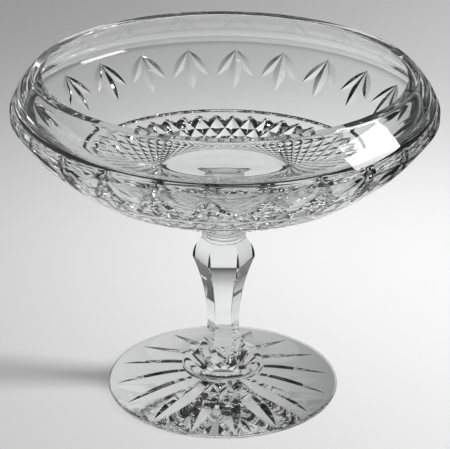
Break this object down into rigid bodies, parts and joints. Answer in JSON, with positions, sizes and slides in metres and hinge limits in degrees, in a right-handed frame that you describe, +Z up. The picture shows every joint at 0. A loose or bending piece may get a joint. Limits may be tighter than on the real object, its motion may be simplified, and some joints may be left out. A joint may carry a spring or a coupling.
{
  "type": "compote bowl",
  "caption": "Footed dish of clear cut crystal: wide shallow bowl with a turned-in band, fan cuts and a ring, on a six-sided stem and a star-cut round foot.",
  "frame": {"origin": "centre of the foot's underside, on the surface that the dish stands on", "axes": "+Z up along the axis of the bowl and stem, -Y towards the viewer of the picture"},
  "size_m": [0.203, 0.203, 0.1658],
  "materials": {
    "bowl_crystal": "clear colourless lead crystal, cut and polished",
    "stem_crystal": "clear colourless lead crystal, flat-cut and polished",
    "foot_crystal": "clear colourless lead crystal, star-cut underneath, polished on top"
  },
  "bodies": {
    "root": {"foot": "foot_crystal", "base_pad": "stem_crystal", "stem": "stem_crystal", "collar": "stem_crystal", "bowl": "bowl_crystal"}
  },
  "joints": []
}
